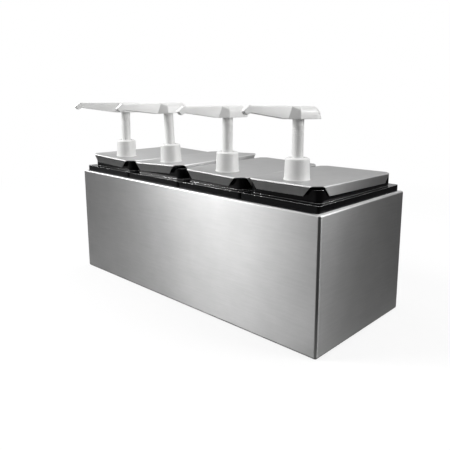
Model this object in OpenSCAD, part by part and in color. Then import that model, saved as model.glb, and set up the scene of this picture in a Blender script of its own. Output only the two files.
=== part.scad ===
// Four-station condiment pump dispenser: an open steel box, four drop-in jars hanging on its
// flange, a loose folded lid on each jar, and a hand pump clamped through each lid.
// Millimetres. Origin at the middle of the box's underside, +X right, +Y back, +Z up.

/* [Box] */
// Outside length of the box, left to right
box_l = 558; // [520:1:620]
// Outside depth of the box, front to back
box_w = 231; // [215:1:260]
// Height of the box up to the top of its flange
box_h = 195; // [180:1:230]
// Thickness of the box's steel sheet
sheet_t = 1.2; // [0.8:0.1:2]
// Width of the inward flange that the jars hang on
flange_w = 11.5; // [10:0.5:12.5]
// Outside radius of the upright corner bends
corner_r = 4; // [3:0.5:8]
// Outside radius of the bend along the floor
floor_bend_r = 4; // [2:0.5:6]
// Outside radius of the bend along the flange
top_bend_r = 2.5; // [1.5:0.5:4]

/* [Jars] */
// Distance from the box's end faces to the outer jars' rims
end_margin = 6; // [5:0.5:8]
// Distance from the box's front and back faces to the rims
side_margin = 6.5; // [5:0.5:8]
// Gap between neighbouring rims
rim_gap = 1.2; // [0.8:0.1:3]
// Height of a rim above the box's flange
rim_h = 10; // [8:0.5:14]
// Thickness of a jar's walls
jar_wall = 3; // [2:0.25:4]
// Height of a jar's neck above its rim
neck_h = 17.5; // [15:0.5:22]
// Height of a jar's underside above the ground
jar_lift = 30; // [20:1:60]
// How much each side of a jar leans in towards its bottom
jar_draft = 4; // [1:0.5:8]
// Corner radius of a rim, seen from above
rim_corner_r = 4; // [3:0.5:14]
// Corner radius of a neck, seen from above
neck_corner_r = 10; // [8:0.5:16]
// Radius between a jar's walls and its bottom
jar_bottom_r = 8; // [4:0.5:12]

/* [Lids] */
// Thickness of a lid's steel sheet
lid_t = 1; // [0.8:0.1:1.5]
// Width of the rim's ledge outside the lid at the left and right
ledge_side = 2.9; // [2.7:0.1:4]
// Width of the rim's ledge outside the lid at the front and back
ledge_front = 8; // [5:0.5:10]
// Gap between a lid's skirt and the jar's neck
skirt_gap = 3.25; // [3:0.25:4]
// Height of a lid's skirts, with the plate
skirt_h = 14.3; // [9:0.1:15]
// Leg of the 45 degree cut at a lid's corners
corner_cut = 12.5; // [8:0.5:15]
// Outside radius of a lid's bends
lid_bend_r = 2; // [1.6:0.1:3]
// Gap left between a lid and the neck that it sits on
seat_gap = 0.3; // [0.2:0.05:0.5]
// How far each loose lid sits up at its right side, in degrees
lid_roll = [-1.8, 2.4, -0.9, 0.4]; // [-3:0.1:3]
// How far each loose lid sits up at its back, in degrees
lid_pitch = [0, 0.9, 0.2, -0.9]; // [-1.5:0.1:1.5]
// How far each loose lid has slid to its right
lid_slide = [-1, -2.4, -1.6, -2.4]; // [-2.4:0.1:2.4]
// How far the loose lids have slid towards the front
lid_forward = 1.5; // [0:0.1:2]

/* [Pumps] */
// Distance of a pump's axis behind the lid's front edge
pump_setback = 36; // [33:0.5:46]
// Distance of a pump's axis to the right of the lid's middle
pump_side = 3; // [0:0.1:4]
// How far a pump can be pressed down
stroke = 38; // [30:1:45]
// Gap between head and collar when the pump is pressed down
head_rest_gap = 14.5; // [6:0.5:20]
// Radius of the stem
stem_r = 8; // [7:0.1:9]
// Radius of the liquid passage in the stem and spout
passage_r = 2.75; // [2:0.05:3]
// Bore radius of the pump cylinder
bore_r = 11.5; // [10.5:0.1:12]
// Wall of the pump cylinder
cylinder_wall = 1.4; // [1:0.1:1.8]
// Running clearance of sliding and turning fits, on the radius
run_gap = 0.05; // [0.02:0.01:0.09]
// Gap between pieces that are assembled without a fit
loose_gap = 0.3; // [0.25:0.05:0.4]
// Wall of the threaded neck that stands up through the lid
fitting_wall = 2.5; // [2:0.1:3]
// Wall of the collar at its base
collar_wall = 2.1; // [1.8:0.1:3]
// How much the collar narrows from its base to its shoulder, on the radius
collar_taper = 1; // [0.2:0.1:1.2]
// Height of the collar's straight side
collar_side_h = 27; // [25:0.5:32]
// Height of the rounded shoulder on top of the collar
shoulder_h = 3; // [2:0.5:6]
// Thickness of the washer under the collar
washer_t = 1; // [0.5:0.25:4]
// Radius of the washer
washer_r = 18.9; // [18.5:0.1:21]
// Radius of the fitting's flange below the lid
fitting_flange_r = 21; // [20:0.5:24]
// Height of the piston
piston_h = 10; // [8:0.5:14]
// Diameter of the spring wire
wire_d = 1.4; // [1:0.1:1.6]
// Turns of the spring
spring_turns = 8; // [6:1:9]
// Radius of the valve ball
ball_r = 4; // [3.5:0.1:4.5]
// Lift of the valve ball off its seat
ball_lift = 2.5; // [1.5:0.25:3]
// Outside radius of the dip tube
dip_r = 4.5; // [4.2:0.1:5]
// Height of the dip tube's end above the jar's floor
dip_clear = 6; // [5:0.5:15]

/* [Pump heads] */
// Height of the head
head_h = 17.7; // [16:0.1:22]
// Reach of the spout from the pump's axis
spout_reach = 98; // [90:1:110]
// How far each spout points left of straight ahead, in degrees
spout_turn = [8, 6, 1.5, 9]; // [-12:0.5:12]
// Width of the spout where it leaves the head
spout_root_w = 12; // [10:0.5:14]
// Width of the spout at its beak
spout_tip_w = 7.5; // [7:0.5:9]
// Height of the spout behind the beak
spout_tip_h = 9; // [8:0.5:10]
// Length of the beak
beak_l = 12; // [11:0.5:14]
// How far the beak hangs below the spout
beak_drop = 3; // [2:0.5:5]
// Height of the beak's step above the spout
beak_rise = 1.2; // [0.5:0.1:2]
// How far the beak's tip lies below the top of the spout
nose_drop = 7; // [6:0.5:8]
// Length of the slanted mouth under the beak's tip, along the spout
mouth_l = 5.5; // [5:0.5:6.5]
// Radius of the outlet in the beak's mouth
outlet_r = 2; // [1.5:0.1:2.2]
// Length of the thumb pad behind the pump's axis
pad_l = 38; // [34:1:46]
// Width of the thumb pad
pad_w = 30; // [26:0.5:34]
// Height of the bevel round the thumb pad's top
pad_bevel_h = 5.5; // [3:0.5:7]
// Width of the bevel round the thumb pad's top
pad_bevel_w = 4; // [2:0.5:5]

/* [Hidden] */
$fn = 48;
STATIONS = 4;
CUT = 1;         // how far cutting tools reach past the face that they cut
HULL_FN = 24;    // roundness of pieces that go into a hull

steel = [0.74, 0.75, 0.76];
black = [0.06, 0.06, 0.07];
white = [0.93, 0.93, 0.92];
pale = [0.86, 0.88, 0.89];
wire_steel = [0.6, 0.61, 0.62];

// Bends of the box: a bend along an edge is never rounder than the upright corner
bend_step = 0.5;
floor_r = min(floor_bend_r, corner_r - bend_step);
top_r = min(top_bend_r, corner_r - bend_step);
least_r = 0.2;

// Jars: the rims share the length between the end margins
pitch = (box_l - 2 * end_margin) / STATIONS;
rim_w = pitch - rim_gap;
rim_d = box_w - 2 * side_margin;
lid_w = rim_w - 2 * ledge_side;
lid_d = rim_d - 2 * ledge_front;
neck_w = lid_w - 2 * (lid_t + skirt_gap);
neck_d = lid_d - 2 * (lid_t + skirt_gap);
rim_top = box_h + rim_h;
neck_top = rim_top + neck_h;
jar_floor = jar_lift + jar_wall;

// How far a lid's folded edges lap into its plate
fold_lap = 1;
pump_front = lid_d / 2 - pump_setback;

// Pump heights, all measured from the top face of the lid's plate
fitting_flange_t = 3;
fitting_in_r = bore_r + cylinder_wall + loose_gap;
fitting_out_r = fitting_in_r + fitting_wall;
lid_hole_r = fitting_out_r + loose_gap;
collar_in_r = fitting_out_r + loose_gap;
collar_out_r = collar_in_r + collar_wall;
cylinder_flange_t = 2;
guide_t = 4;
guide_boss_t = 2.5;
guide_boss_h = 4;
collar_top = washer_t + collar_side_h + shoulder_h;
collar_web = 3;
guide_top = washer_t + collar_side_h - collar_web;
guide_z = guide_top - guide_t;
cylinder_top = guide_z;
fitting_top = cylinder_top - cylinder_flange_t;
collar_mouth_r = stem_r + run_gap + guide_boss_t + loose_gap;
piston_z = guide_z - loose_gap - piston_h;
spring_slack = 5;
spring_pressed_l = spring_turns * wire_d + spring_slack;
spring_top = piston_z - loose_gap;
spring_z = spring_top - stroke - spring_pressed_l;
spring_r = bore_r - wire_d / 2 - 1;
spigot_r = 5;
bead_r = 6.2;
bead_h = 3;
head_z = collar_top + stroke + head_rest_gap;
socket_depth = 12;
stem_top = head_z + socket_depth;

// Head: u runs along the spout, from the pump's axis
head_front_u = pad_w / 3;
beak_u = spout_reach - beak_l;
lip_z = head_h - spout_tip_h - beak_drop;
tip_wall = 0.5;
thin = 0.02;

// Ball chamber under the spring, then the socket of the dip tube
lip_r = ball_r - 0.4;
lip_t = 1.5;
ball_rest = sqrt(ball_r * ball_r - passage_r * passage_r) + loose_gap;
ball_stop = sqrt(ball_r * ball_r - lip_r * lip_r) + loose_gap;
chamber_h = ball_rest + ball_lift + ball_stop;
chamber_r = ball_r + 0.6;
chamber_z = spring_z - lip_t - chamber_h;
seat_t = 2;
socket_top = chamber_z - seat_t;
socket_l = 14;
socket_wall = 2.2;
plate_z = neck_top + seat_gap + lid_t;
dip_end = jar_floor + dip_clear - plate_z;

// ---- placing ----

function station_x(i) = (i - (STATIONS + 1) / 2) * pitch;

// A lid that sits askew touches the neck at the edge that it turns about
function edge(angle, half) = angle > 0 ? -half : (angle < 0 ? half : 0);

module at_jar(i) {
  translate([station_x(i), 0, 0]) children();
}

module at_lid(i) {
  roll = lid_roll[i - 1];
  lean = lid_pitch[i - 1];
  pivot = [edge(roll, neck_w / 2), edge(lean, neck_d / 2), -lid_t];
  slid = [lid_slide[i - 1], -lid_forward, 0];
  translate([station_x(i), 0, plate_z])
    translate(pivot) rotate([lean, -roll, 0]) translate(slid - pivot) children();
}

module at_pump(i) {
  at_lid(i) translate([pump_side, -pump_front, 0]) children();
}

// ---- shapes shared by several pieces ----

module rounded_rect(w, d, r) {
  square([w - 2 * r, d], center = true);
  square([w, d - 2 * r], center = true);
  for (x = [-1, 1], y = [-1, 1])
    translate([x * (w / 2 - r), y * (d / 2 - r)]) circle(r);
}

module rounded_block(w, d, h, r) {
  linear_extrude(h) rounded_rect(w, d, r);
}

// Disc of radius big_r with a round edge of radius edge_r, its underside at z = 0
module edge_disc(big_r, edge_r) {
  rotate_extrude($fn = HULL_FN)
    intersection() {
      translate([big_r - edge_r, edge_r]) circle(edge_r, $fn = 16);
      square([big_r + CUT, 2 * edge_r]);
    }
}

// Closed block with rounded upright corners, bottom edges and top edges
module soft_block(w, d, h, r, bottom_r, upper_r) {
  hull()
    for (x = [-1, 1], y = [-1, 1])
      translate([x * (w / 2 - r), y * (d / 2 - r), 0]) {
        edge_disc(r, bottom_r);
        translate([0, 0, h - 2 * upper_r]) edge_disc(r, upper_r);
      }
}

// Tube or disc from a radius, a bore and two heights
module ring(out_r, in_r, z0, z1) {
  translate([0, 0, z0]) difference() {
    cylinder(r = out_r, h = z1 - z0);
    translate([0, 0, -CUT]) cylinder(r = in_r, h = z1 - z0 + 2 * CUT);
  }
}

// ---- box ----

module box_shell() {
  inner_r = corner_r - sheet_t;
  color(steel)
    difference() {
      soft_block(box_l, box_w, box_h, corner_r, floor_r, top_r);
      translate([0, 0, sheet_t])
        soft_block(box_l - 2 * sheet_t, box_w - 2 * sheet_t, box_h - 2 * sheet_t, inner_r,
                   max(least_r, floor_r - sheet_t), max(least_r, top_r - sheet_t));
      translate([0, 0, box_h - sheet_t - CUT])
        rounded_block(box_l - 2 * flange_w, box_w - 2 * flange_w, sheet_t + 2 * CUT, corner_r);
    }
}

// ---- jars ----

// Tapered body between its bottom and the top of its neck, with everything shrunk by inset
module jar_body(inset) {
  w = neck_w - 2 * inset;
  d = neck_d - 2 * inset;
  r = neck_corner_r - inset;
  low_r = min(jar_bottom_r - inset, r - least_r);
  z0 = jar_lift + inset;
  slab = 1;
  hull() {
    for (x = [-1, 1], y = [-1, 1])
      translate([x * (w / 2 - jar_draft - r), y * (d / 2 - jar_draft - r), z0])
        edge_disc(r, low_r);
    translate([0, 0, box_h - slab]) linear_extrude(slab) rounded_rect(w, d, r, $fn = HULL_FN);
  }
}

module jar() {
  inner_corner_r = neck_corner_r - jar_wall;
  lip_in_r = max(least_r, rim_corner_r - jar_wall);
  color(black)
    difference() {
      union() {
        jar_body(0);
        translate([0, 0, box_h - CUT])
          rounded_block(neck_w, neck_d, rim_h + neck_h + CUT, neck_corner_r);
        difference() {
          translate([0, 0, box_h]) rounded_block(rim_w, rim_d, rim_h, rim_corner_r);
          translate([0, 0, box_h - CUT])
            rounded_block(rim_w - 2 * jar_wall, rim_d - 2 * jar_wall, rim_h - jar_wall + CUT,
                          lip_in_r);
        }
      }
      jar_body(jar_wall);
      translate([0, 0, box_h - 2 * CUT])
        rounded_block(neck_w - 2 * jar_wall, neck_d - 2 * jar_wall,
                      rim_h + neck_h + 3 * CUT, inner_corner_r);
    }
}

// ---- lids ----

// Outline of a lid with its corners cut, shrunk by inset on all four sides
module cut_rect(w, d, inset) {
  x1 = w / 2 - inset;
  y1 = d / 2 - inset;
  x0 = w / 2 - corner_cut + inset;
  y0 = d / 2 - corner_cut + inset;
  polygon([[x0, -y1], [x1, -y0], [x1, y0], [x0, y1], [-x0, y1], [-x1, y0], [-x1, -y0], [-x0, -y1]]);
}

// Cross-section of a folded edge: bend and skirt, with a tongue that laps into the plate
module fold_section() {
  difference() {
    union() {
      translate([0, -lid_bend_r]) circle(lid_bend_r);
      translate([lid_bend_r - lid_t, -skirt_h]) square([lid_t, skirt_h - lid_bend_r]);
      translate([-fold_lap, -lid_t]) square([fold_lap, lid_t]);
    }
    translate([0, -lid_bend_r]) circle(lid_bend_r - lid_t);
    translate([-2 * lid_bend_r, -2 * skirt_h])
      square([2 * lid_bend_r - fold_lap, 3 * skirt_h]);
    translate([-2 * lid_bend_r, -2 * skirt_h])
      square([2 * lid_bend_r, 2 * skirt_h - lid_t]);
    translate([-CUT, -2 * skirt_h])
      square([lid_bend_r - lid_t + CUT, 2 * skirt_h - lid_bend_r]);
  }
}

// Folded edge along +X of a plate that reaches half from the middle; its ends are cut at 45
// degrees, so that the skirt gets shorter towards its lower edge
module folded_edge(half, len) {
  top_len = len / 2 - corner_cut + lid_bend_r;
  intersection() {
    translate([half - lid_bend_r, 0, 0])
      rotate([90, 0, 0]) linear_extrude(len, center = true) fold_section();
    rotate([90, 0, 90]) linear_extrude(2 * half, center = false)
      polygon([[-top_len, 0], [top_len, 0], [top_len - skirt_h, -skirt_h],
               [-top_len + skirt_h, -skirt_h]]);
  }
}

module lid() {
  color(steel)
    difference() {
      union() {
        translate([0, 0, -lid_t]) linear_extrude(lid_t) cut_rect(lid_w, lid_d, lid_bend_r);
        for (side = [0, 180]) rotate([0, 0, side]) folded_edge(lid_w / 2, lid_d);
        for (side = [90, 270]) rotate([0, 0, side]) folded_edge(lid_d / 2, lid_w);
      }
      translate([pump_side, -pump_front, -lid_t - CUT])
        cylinder(r = lid_hole_r, h = lid_t + 2 * CUT);
    }
}

// ---- pumps, drawn about their own axis ----

module lid_fitting() {
  color(black) {
    ring(fitting_flange_r, fitting_in_r, -lid_t - fitting_flange_t, -lid_t);
    ring(fitting_out_r, fitting_in_r, -lid_t - fitting_flange_t, fitting_top);
  }
}

module collar_washer() {
  color(white) ring(washer_r, lid_hole_r, 0, washer_t);
}

module pump_collar() {
  side_top = washer_t + collar_side_h;
  top_r1 = collar_out_r - collar_taper;
  crown_r = collar_mouth_r + 1;
  color(white)
    difference() {
      union() {
        translate([0, 0, washer_t]) cylinder(r1 = collar_out_r, r2 = top_r1, h = collar_side_h);
        rotate_extrude()
          intersection() {
            translate([crown_r, side_top]) quarter_ellipse(top_r1 - crown_r, shoulder_h);
            translate([0, side_top - CUT]) square([top_r1 + CUT, shoulder_h + CUT]);
          }
        translate([0, 0, side_top - CUT]) cylinder(r = crown_r, h = shoulder_h + CUT);
      }
      translate([0, 0, washer_t - CUT]) cylinder(r = collar_in_r, h = guide_top - washer_t + CUT);
      cylinder(r = collar_mouth_r, h = collar_top + CUT);
    }
}

// Quarter of an ellipse about the origin, written as a fan of points
module quarter_ellipse(a, b) {
  steps = 12;
  polygon(concat([[0, -CUT], [a, -CUT]],
                 [for (k = [0:steps]) [a * cos(90 * k / steps), b * sin(90 * k / steps)]]));
}

module stem_guide() {
  color(pale) {
    ring(collar_in_r - loose_gap, stem_r + run_gap, guide_z, guide_top);
    ring(stem_r + run_gap + guide_boss_t, stem_r + run_gap, guide_z, guide_top + guide_boss_h);
  }
}

module pump_cylinder() {
  out_r = bore_r + cylinder_wall;
  floor_z = socket_top;
  color(white)
    difference() {
      union() {
        translate([0, 0, fitting_top]) cylinder(r = fitting_out_r, h = cylinder_flange_t);
        translate([0, 0, floor_z]) cylinder(r = out_r, h = cylinder_top - floor_z);
        translate([0, 0, floor_z - socket_l])
          cylinder(r = dip_r + run_gap + socket_wall, h = socket_l + CUT);
      }
      translate([0, 0, spring_z]) cylinder(r = bore_r, h = cylinder_top - spring_z + CUT);
      translate([0, 0, chamber_z]) cylinder(r = chamber_r, h = chamber_h);
      translate([0, 0, floor_z - CUT]) cylinder(r = passage_r, h = seat_t + 2 * CUT);
      translate([0, 0, chamber_z]) cylinder(r = lip_r, h = chamber_h + lip_t + CUT);
      translate([0, 0, floor_z - socket_l - CUT])
        cylinder(r = dip_r + run_gap, h = socket_l + CUT);
    }
}

module piston() {
  lip_h = piston_h / 4;
  waist = 1.2;
  lip_out_r = bore_r - run_gap;
  color(pale)
    difference() {
      union() {
        translate([0, 0, piston_z]) cylinder(r = lip_out_r - waist, h = piston_h);
        for (z = [piston_z, piston_z + piston_h - lip_h])
          translate([0, 0, z]) cylinder(r = lip_out_r, h = lip_h);
      }
      translate([0, 0, piston_z - CUT]) cylinder(r = spigot_r + run_gap, h = piston_h + 2 * CUT);
    }
}

// Coil spring: a round wire swept along a helix by a formula
module return_spring() {
  wire_r = wire_d / 2;
  sides = 6;
  per_turn = 14;
  rings = spring_turns * per_turn;
  rise = spring_top - spring_z - wire_d - 2 * loose_gap;
  function wire_point(k, s) =
    let (turn = 360 * k / per_turn, a = 360 * s / sides, r = spring_r + wire_r * cos(a))
    [r * cos(turn), r * sin(turn),
     spring_z + loose_gap + wire_r + rise * k / rings + wire_r * sin(a)];
  points = [for (k = [0:rings], s = [0:sides - 1]) wire_point(k, s)];
  skin = [for (k = [0:rings - 1], s = [0:sides - 1])
    let (t = (s + 1) % sides)
    [k * sides + s, (k + 1) * sides + s, (k + 1) * sides + t, k * sides + t]];
  first_end = [for (s = [0:sides - 1]) s];
  last_end = [for (s = [sides - 1:-1:0]) rings * sides + s];
  color(wire_steel) polyhedron(points, concat(skin, [first_end, last_end]));
}

module valve_ball() {
  color(wire_steel) translate([0, 0, chamber_z + ball_rest]) sphere(ball_r);
}

module dip_tube() {
  color(pale) ring(dip_r, passage_r, dip_end, socket_top);
}

module pump_stem() {
  shoulder_z = piston_z + piston_h + loose_gap;
  bead_top = piston_z - loose_gap;
  color(white)
    difference() {
      union() {
        translate([0, 0, shoulder_z]) cylinder(r = stem_r, h = stem_top - shoulder_z);
        translate([0, 0, bead_top - CUT]) cylinder(r = spigot_r, h = shoulder_z - bead_top + 2 * CUT);
        translate([0, 0, bead_top - bead_h]) cylinder(r = bead_r, h = bead_h);
      }
      translate([0, 0, bead_top - bead_h - CUT])
        cylinder(r = passage_r, h = stem_top - bead_top + bead_h + 2 * CUT);
    }
}

// Thin upright slice of the head, u along the spout, used as a corner of its hulls
module slice(u, w, z0, z1) {
  translate([u - thin / 2, -w / 2, z0]) cube([thin, w, z1 - z0]);
}

// Thumb pad: its end leans in towards the top, and its top edge is bevelled
module thumb_pad() {
  end_lean = 5;
  end_r = pad_w / 2 - 1;
  side_z = head_h - pad_bevel_h;
  top_inset = end_lean + pad_bevel_w + 2;
  hull() {
    pad_end(pad_l, pad_w / 2, end_r, 0);
    pad_end(pad_l - end_lean, pad_w / 2, end_r, side_z);
    pad_end(pad_l - top_inset, pad_w / 2 - pad_bevel_w, end_r - pad_bevel_w, head_h - thin);
    head_front();
  }
}

// Thin rounded slab that ends a thumb pad at -end_u
module pad_end(end_u, half_w, r, z) {
  for (y = [-1, 1])
    translate([r - end_u, y * (half_w - r), z]) cylinder(r = r, h = thin, $fn = HULL_FN);
}

// Front end of the thumb pad, where the shoulders start
module head_front() {
  slice(head_front_u, pad_w, 0, head_h - pad_bevel_h);
  slice(head_front_u - pad_bevel_w / 2, pad_w - 2 * pad_bevel_w, 0, head_h);
}

// Slanted flanks between the wide pad and the narrow spout
module shoulders() {
  top_run = 7;
  low_run = 15;
  sole_h = 1;
  hull() {
    head_front();
    slice(head_front_u + top_run, spout_root_w, 0, head_h);
    slice(head_front_u + low_run, spout_root_w, 0, sole_h);
  }
}

module spout() {
  under_u = 20;
  hull() {
    slice(0, spout_root_w, 0, head_h);
    slice(under_u, spout_root_w, 0, head_h);
    slice(beak_u, spout_tip_w + 1, head_h - spout_tip_h, head_h);
  }
}

module beak() {
  step_l = 2;
  tip_h = 0.5;
  nose_z = head_h - nose_drop;
  hull() {
    slice(beak_u, spout_tip_w + 1, head_h - spout_tip_h, head_h);
    slice(beak_u + step_l, spout_tip_w, head_h - spout_tip_h, head_h + beak_rise);
    slice(spout_reach - mouth_l, spout_tip_w, lip_z, lip_z + tip_h);
    slice(spout_reach, spout_tip_w - 1, nose_z, nose_z + tip_h);
  }
}

// Liquid passage of a head: up the stem's socket, along the spout and out of the slanted mouth
module head_passage() {
  channel_z = head_h - spout_tip_h / 2 - tip_wall;
  mouth = [spout_reach - mouth_l / 2, 0, (head_h - nose_drop + lip_z) / 2];
  climb = channel_z - mouth.z;
  elbow_back = 1.5;
  translate([0, 0, -CUT]) cylinder(r = stem_r + run_gap, h = socket_depth + CUT);
  translate([0, 0, channel_z]) rotate([0, 90, 0])
    cylinder(r = passage_r, h = mouth.x - climb - elbow_back);
  translate(mouth) rotate([0, -45, 0]) translate([0, 0, -2 * CUT])
    cylinder(r = outlet_r, h = climb * sqrt(2) + 2 * CUT);
}

module pump_head() {
  color(white)
    translate([0, 0, head_z])
      difference() {
        union() {
          thumb_pad();
          shoulders();
          spout();
          beak();
        }
        head_passage();
      }
}

// Turns a head from +X to the way that its spout points
module aimed(i) {
  rotate([0, 0, -90 - spout_turn[i - 1]]) children();
}

// ---- nodes ----

box_shell();

for (i = [1:STATIONS]) {
  at_jar(i) jar();
  at_lid(i) lid();
  at_pump(i) lid_fitting();
  at_pump(i) collar_washer();
  at_pump(i) pump_collar();
  at_pump(i) stem_guide();
  at_pump(i) pump_cylinder();
  at_pump(i) piston();
  at_pump(i) return_spring();
  at_pump(i) valve_ball();
  at_pump(i) dip_tube();
  at_pump(i) pump_stem();
  at_pump(i) aimed(i) pump_head();
}
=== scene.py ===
import math

import bmesh
import bpy
from mathutils import Euler, Matrix, Vector


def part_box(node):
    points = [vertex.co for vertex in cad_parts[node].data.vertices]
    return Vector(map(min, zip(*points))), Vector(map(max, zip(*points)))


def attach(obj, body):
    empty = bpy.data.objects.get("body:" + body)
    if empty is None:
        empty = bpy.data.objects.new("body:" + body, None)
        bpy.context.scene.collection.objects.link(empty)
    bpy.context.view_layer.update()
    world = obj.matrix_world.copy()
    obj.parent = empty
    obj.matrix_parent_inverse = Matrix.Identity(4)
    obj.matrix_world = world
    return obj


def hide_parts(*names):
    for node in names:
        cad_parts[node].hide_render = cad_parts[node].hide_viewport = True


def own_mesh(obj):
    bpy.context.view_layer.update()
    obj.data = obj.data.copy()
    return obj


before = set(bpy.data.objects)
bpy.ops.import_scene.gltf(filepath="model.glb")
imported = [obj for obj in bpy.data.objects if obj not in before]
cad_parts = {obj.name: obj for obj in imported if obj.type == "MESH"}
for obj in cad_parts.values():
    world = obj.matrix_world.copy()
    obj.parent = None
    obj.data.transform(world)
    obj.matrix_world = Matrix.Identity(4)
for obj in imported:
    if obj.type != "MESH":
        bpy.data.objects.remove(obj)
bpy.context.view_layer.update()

# Four-station condiment pump dispenser. Metres, in the CAD model's own frame.

MM = 0.001
STATIONS = (1, 2, 3, 4)
NEAR = 1e-5  # places closer than this count as the same

# Sizes repeated from the CAD source
SHEET_T = 1.2 * MM
FLANGE_W = 11.5 * MM
BOX_CORNER_R = 4 * MM
FLOOR_BEND_R = 3.5 * MM
TOP_BEND_R = 2.5 * MM
BOX_H = 195 * MM
PITCH = 136.5 * MM
RIM_W, RIM_D, RIM_H = 135.3 * MM, 218 * MM, 10 * MM
RIM_CORNER_R = 4 * MM
NECK_W, NECK_D, NECK_H = 121 * MM, 193.5 * MM, 17.5 * MM
NECK_CORNER_R = 10 * MM
JAR_WALL = 3 * MM
JAR_LIFT = 30 * MM
JAR_DRAFT = 4 * MM
JAR_BOTTOM_R = 8 * MM
NECK_TOP = BOX_H + RIM_H + NECK_H
LID_W, LID_D, LID_T = 129.5 * MM, 202 * MM, 1 * MM
SKIRT_H = 14.3 * MM
CORNER_CUT = 12.5 * MM
LID_BEND_R = 2 * MM
LID_ROLL = (-1.8, 2.4, -0.9, 0.4)
LID_PITCH = (0, 0.9, 0.2, -0.9)
LID_SLIDE = (-1 * MM, -2.4 * MM, -1.6 * MM, -2.4 * MM)
LID_FORWARD = 1.5 * MM
SEAT_GAP = 0.3 * MM
PLATE_Z = NECK_TOP + SEAT_GAP + LID_T
PUMP_SIDE, PUMP_FRONT = 3 * MM, 65 * MM
LID_HOLE_R = 16 * MM
STEM_R = 8 * MM
PASSAGE_R, OUTLET_R = 2.75 * MM, 2 * MM
WASHER_R, WASHER_T = 18.9 * MM, 1 * MM
COLLAR_IN_R, COLLAR_OUT_R, COLLAR_TOP_R = 16 * MM, 18.1 * MM, 17.1 * MM
COLLAR_SIDE_TOP, COLLAR_TOP = 28 * MM, 31 * MM
COLLAR_MOUTH_R = 10.85 * MM
GUIDE_TOP = 25 * MM
PISTON_TOP, PISTON_H = 10.7 * MM, 10 * MM
PISTON_GAP = 0.3 * MM
SPRING_R = 9.8 * MM
SPRING_L = 53.6 * MM
SPRING_Z = -43.5 * MM
SPRING_TURNS = 8
WIRE_R = 0.7 * MM
HEAD_Z = 83.5 * MM
HEAD_H = 17.7 * MM
STEM_TOP = HEAD_Z + 12 * MM
SPOUT_TURN = (8, 6, 1.5, 9)


# ---- modelling helpers ----

def alone(piece):
    """Makes a piece the only selected object and the active one."""
    bpy.ops.object.select_all(action="DESELECT")
    piece.select_set(True)
    bpy.context.view_layer.objects.active = piece


def start(name, primitive, **sizes):
    """Adds a primitive, names it and leaves it in edit mode with all of it selected."""
    bpy.ops.object.select_all(action="DESELECT")
    primitive(**sizes)
    piece = bpy.context.object
    piece.name = piece.data.name = name
    bpy.ops.object.transform_apply(location=True, rotation=True, scale=True)
    bpy.ops.object.mode_set(mode="EDIT")
    bpy.ops.mesh.select_all(action="SELECT")
    return piece


def block(name, low, high):
    """A box between two corners, in edit mode."""
    low, high = Vector(low), Vector(high)
    return start(name, bpy.ops.mesh.primitive_cube_add, size=1,
                 location=(low + high) / 2, scale=high - low)


def column(name, width, depth, bottom, top):
    """A box about the Z axis between two heights, in edit mode."""
    return block(name, (-width / 2, -depth / 2, bottom), (width / 2, depth / 2, top))


def done_editing(piece):
    """Leaves edit mode."""
    bpy.ops.object.mode_set(mode="OBJECT")
    return piece


def pick(kind, test):
    """Selects the verts, edges or faces of the piece in edit mode whose place passes a test.
    The test gets a vert's place, an edge's middle and run, or a face's middle and normal."""
    bpy.ops.mesh.select_mode(type=kind)
    bpy.ops.mesh.select_all(action="DESELECT")
    mesh = bmesh.from_edit_mesh(bpy.context.object.data)
    if kind == "VERT":
        chosen = [v for v in mesh.verts if test(v.co)]
    elif kind == "EDGE":
        chosen = [e for e in mesh.edges if test(
            (e.verts[0].co + e.verts[1].co) / 2, (e.verts[1].co - e.verts[0].co).normalized())]
    else:
        chosen = [f for f in mesh.faces if test(f.calc_center_median(), f.normal)]
    for item in chosen:
        item.select_set(True)
    mesh.select_flush_mode()
    bmesh.update_edit_mesh(bpy.context.object.data)


def push(x=0, y=0, z=0):
    """Moves what is selected."""
    bpy.ops.transform.translate(value=(x, y, z))


def widen(x=1, y=1, z=1, about=(0, 0, 0)):
    """Scales what is selected about a point."""
    bpy.ops.transform.resize(value=(x, y, z), center_override=about)


def extrude(x=0, y=0, z=0):
    """Extrudes what is selected and moves the new end."""
    bpy.ops.mesh.extrude_region_move(TRANSFORM_OT_translate={"value": (x, y, z)})


def round_off(test, radius, segments):
    """Rounds the edges that pass a test."""
    pick("EDGE", test)
    bpy.ops.mesh.bevel(offset=radius, segments=segments, affect="EDGES")


def upright(middle, run):
    """Test of an edge that runs up."""
    return abs(run.z) > 0.9


def level_at(height):
    """A test of edges that lie at a height."""
    return lambda middle, run: abs(middle.z - height) < NEAR


def cleaned(limit):
    """Merges the doubled verts of the piece in edit mode and turns its faces outward."""
    bpy.ops.mesh.select_all(action="SELECT")
    bpy.ops.mesh.remove_doubles(threshold=limit)
    bpy.ops.mesh.normals_make_consistent(inside=False)


def modified(piece, kind, **values):
    """Adds a modifier, sets its values and applies it."""
    alone(piece)
    modifier = piece.modifiers.new(kind.title(), kind)
    for key, value in values.items():
        setattr(modifier, key, value)
    bpy.ops.object.modifier_apply(modifier=modifier.name)


def combined(piece, operation, other):
    """Cuts another closed shape out of a piece or joins it on, and removes that shape."""
    modified(piece, "BOOLEAN", operation=operation, solver="EXACT", object=other)
    bpy.data.objects.remove(other)


def drilled(piece, name, sides, radius, depth, middle, tilt=0):
    """Cuts a round hole through a point; tilt turns the hole from upright towards +X."""
    drill = start(name, bpy.ops.mesh.primitive_cylinder_add, vertices=sides, radius=radius,
                  depth=depth, location=middle, rotation=(0, math.radians(tilt), 0))
    combined(piece, "DIFFERENCE", done_editing(drill))


def sheet(piece, thickness):
    """Gives an open or closed skin a thickness, inward."""
    modified(piece, "SOLIDIFY", thickness=thickness, offset=-1, use_even_offset=True)


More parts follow.
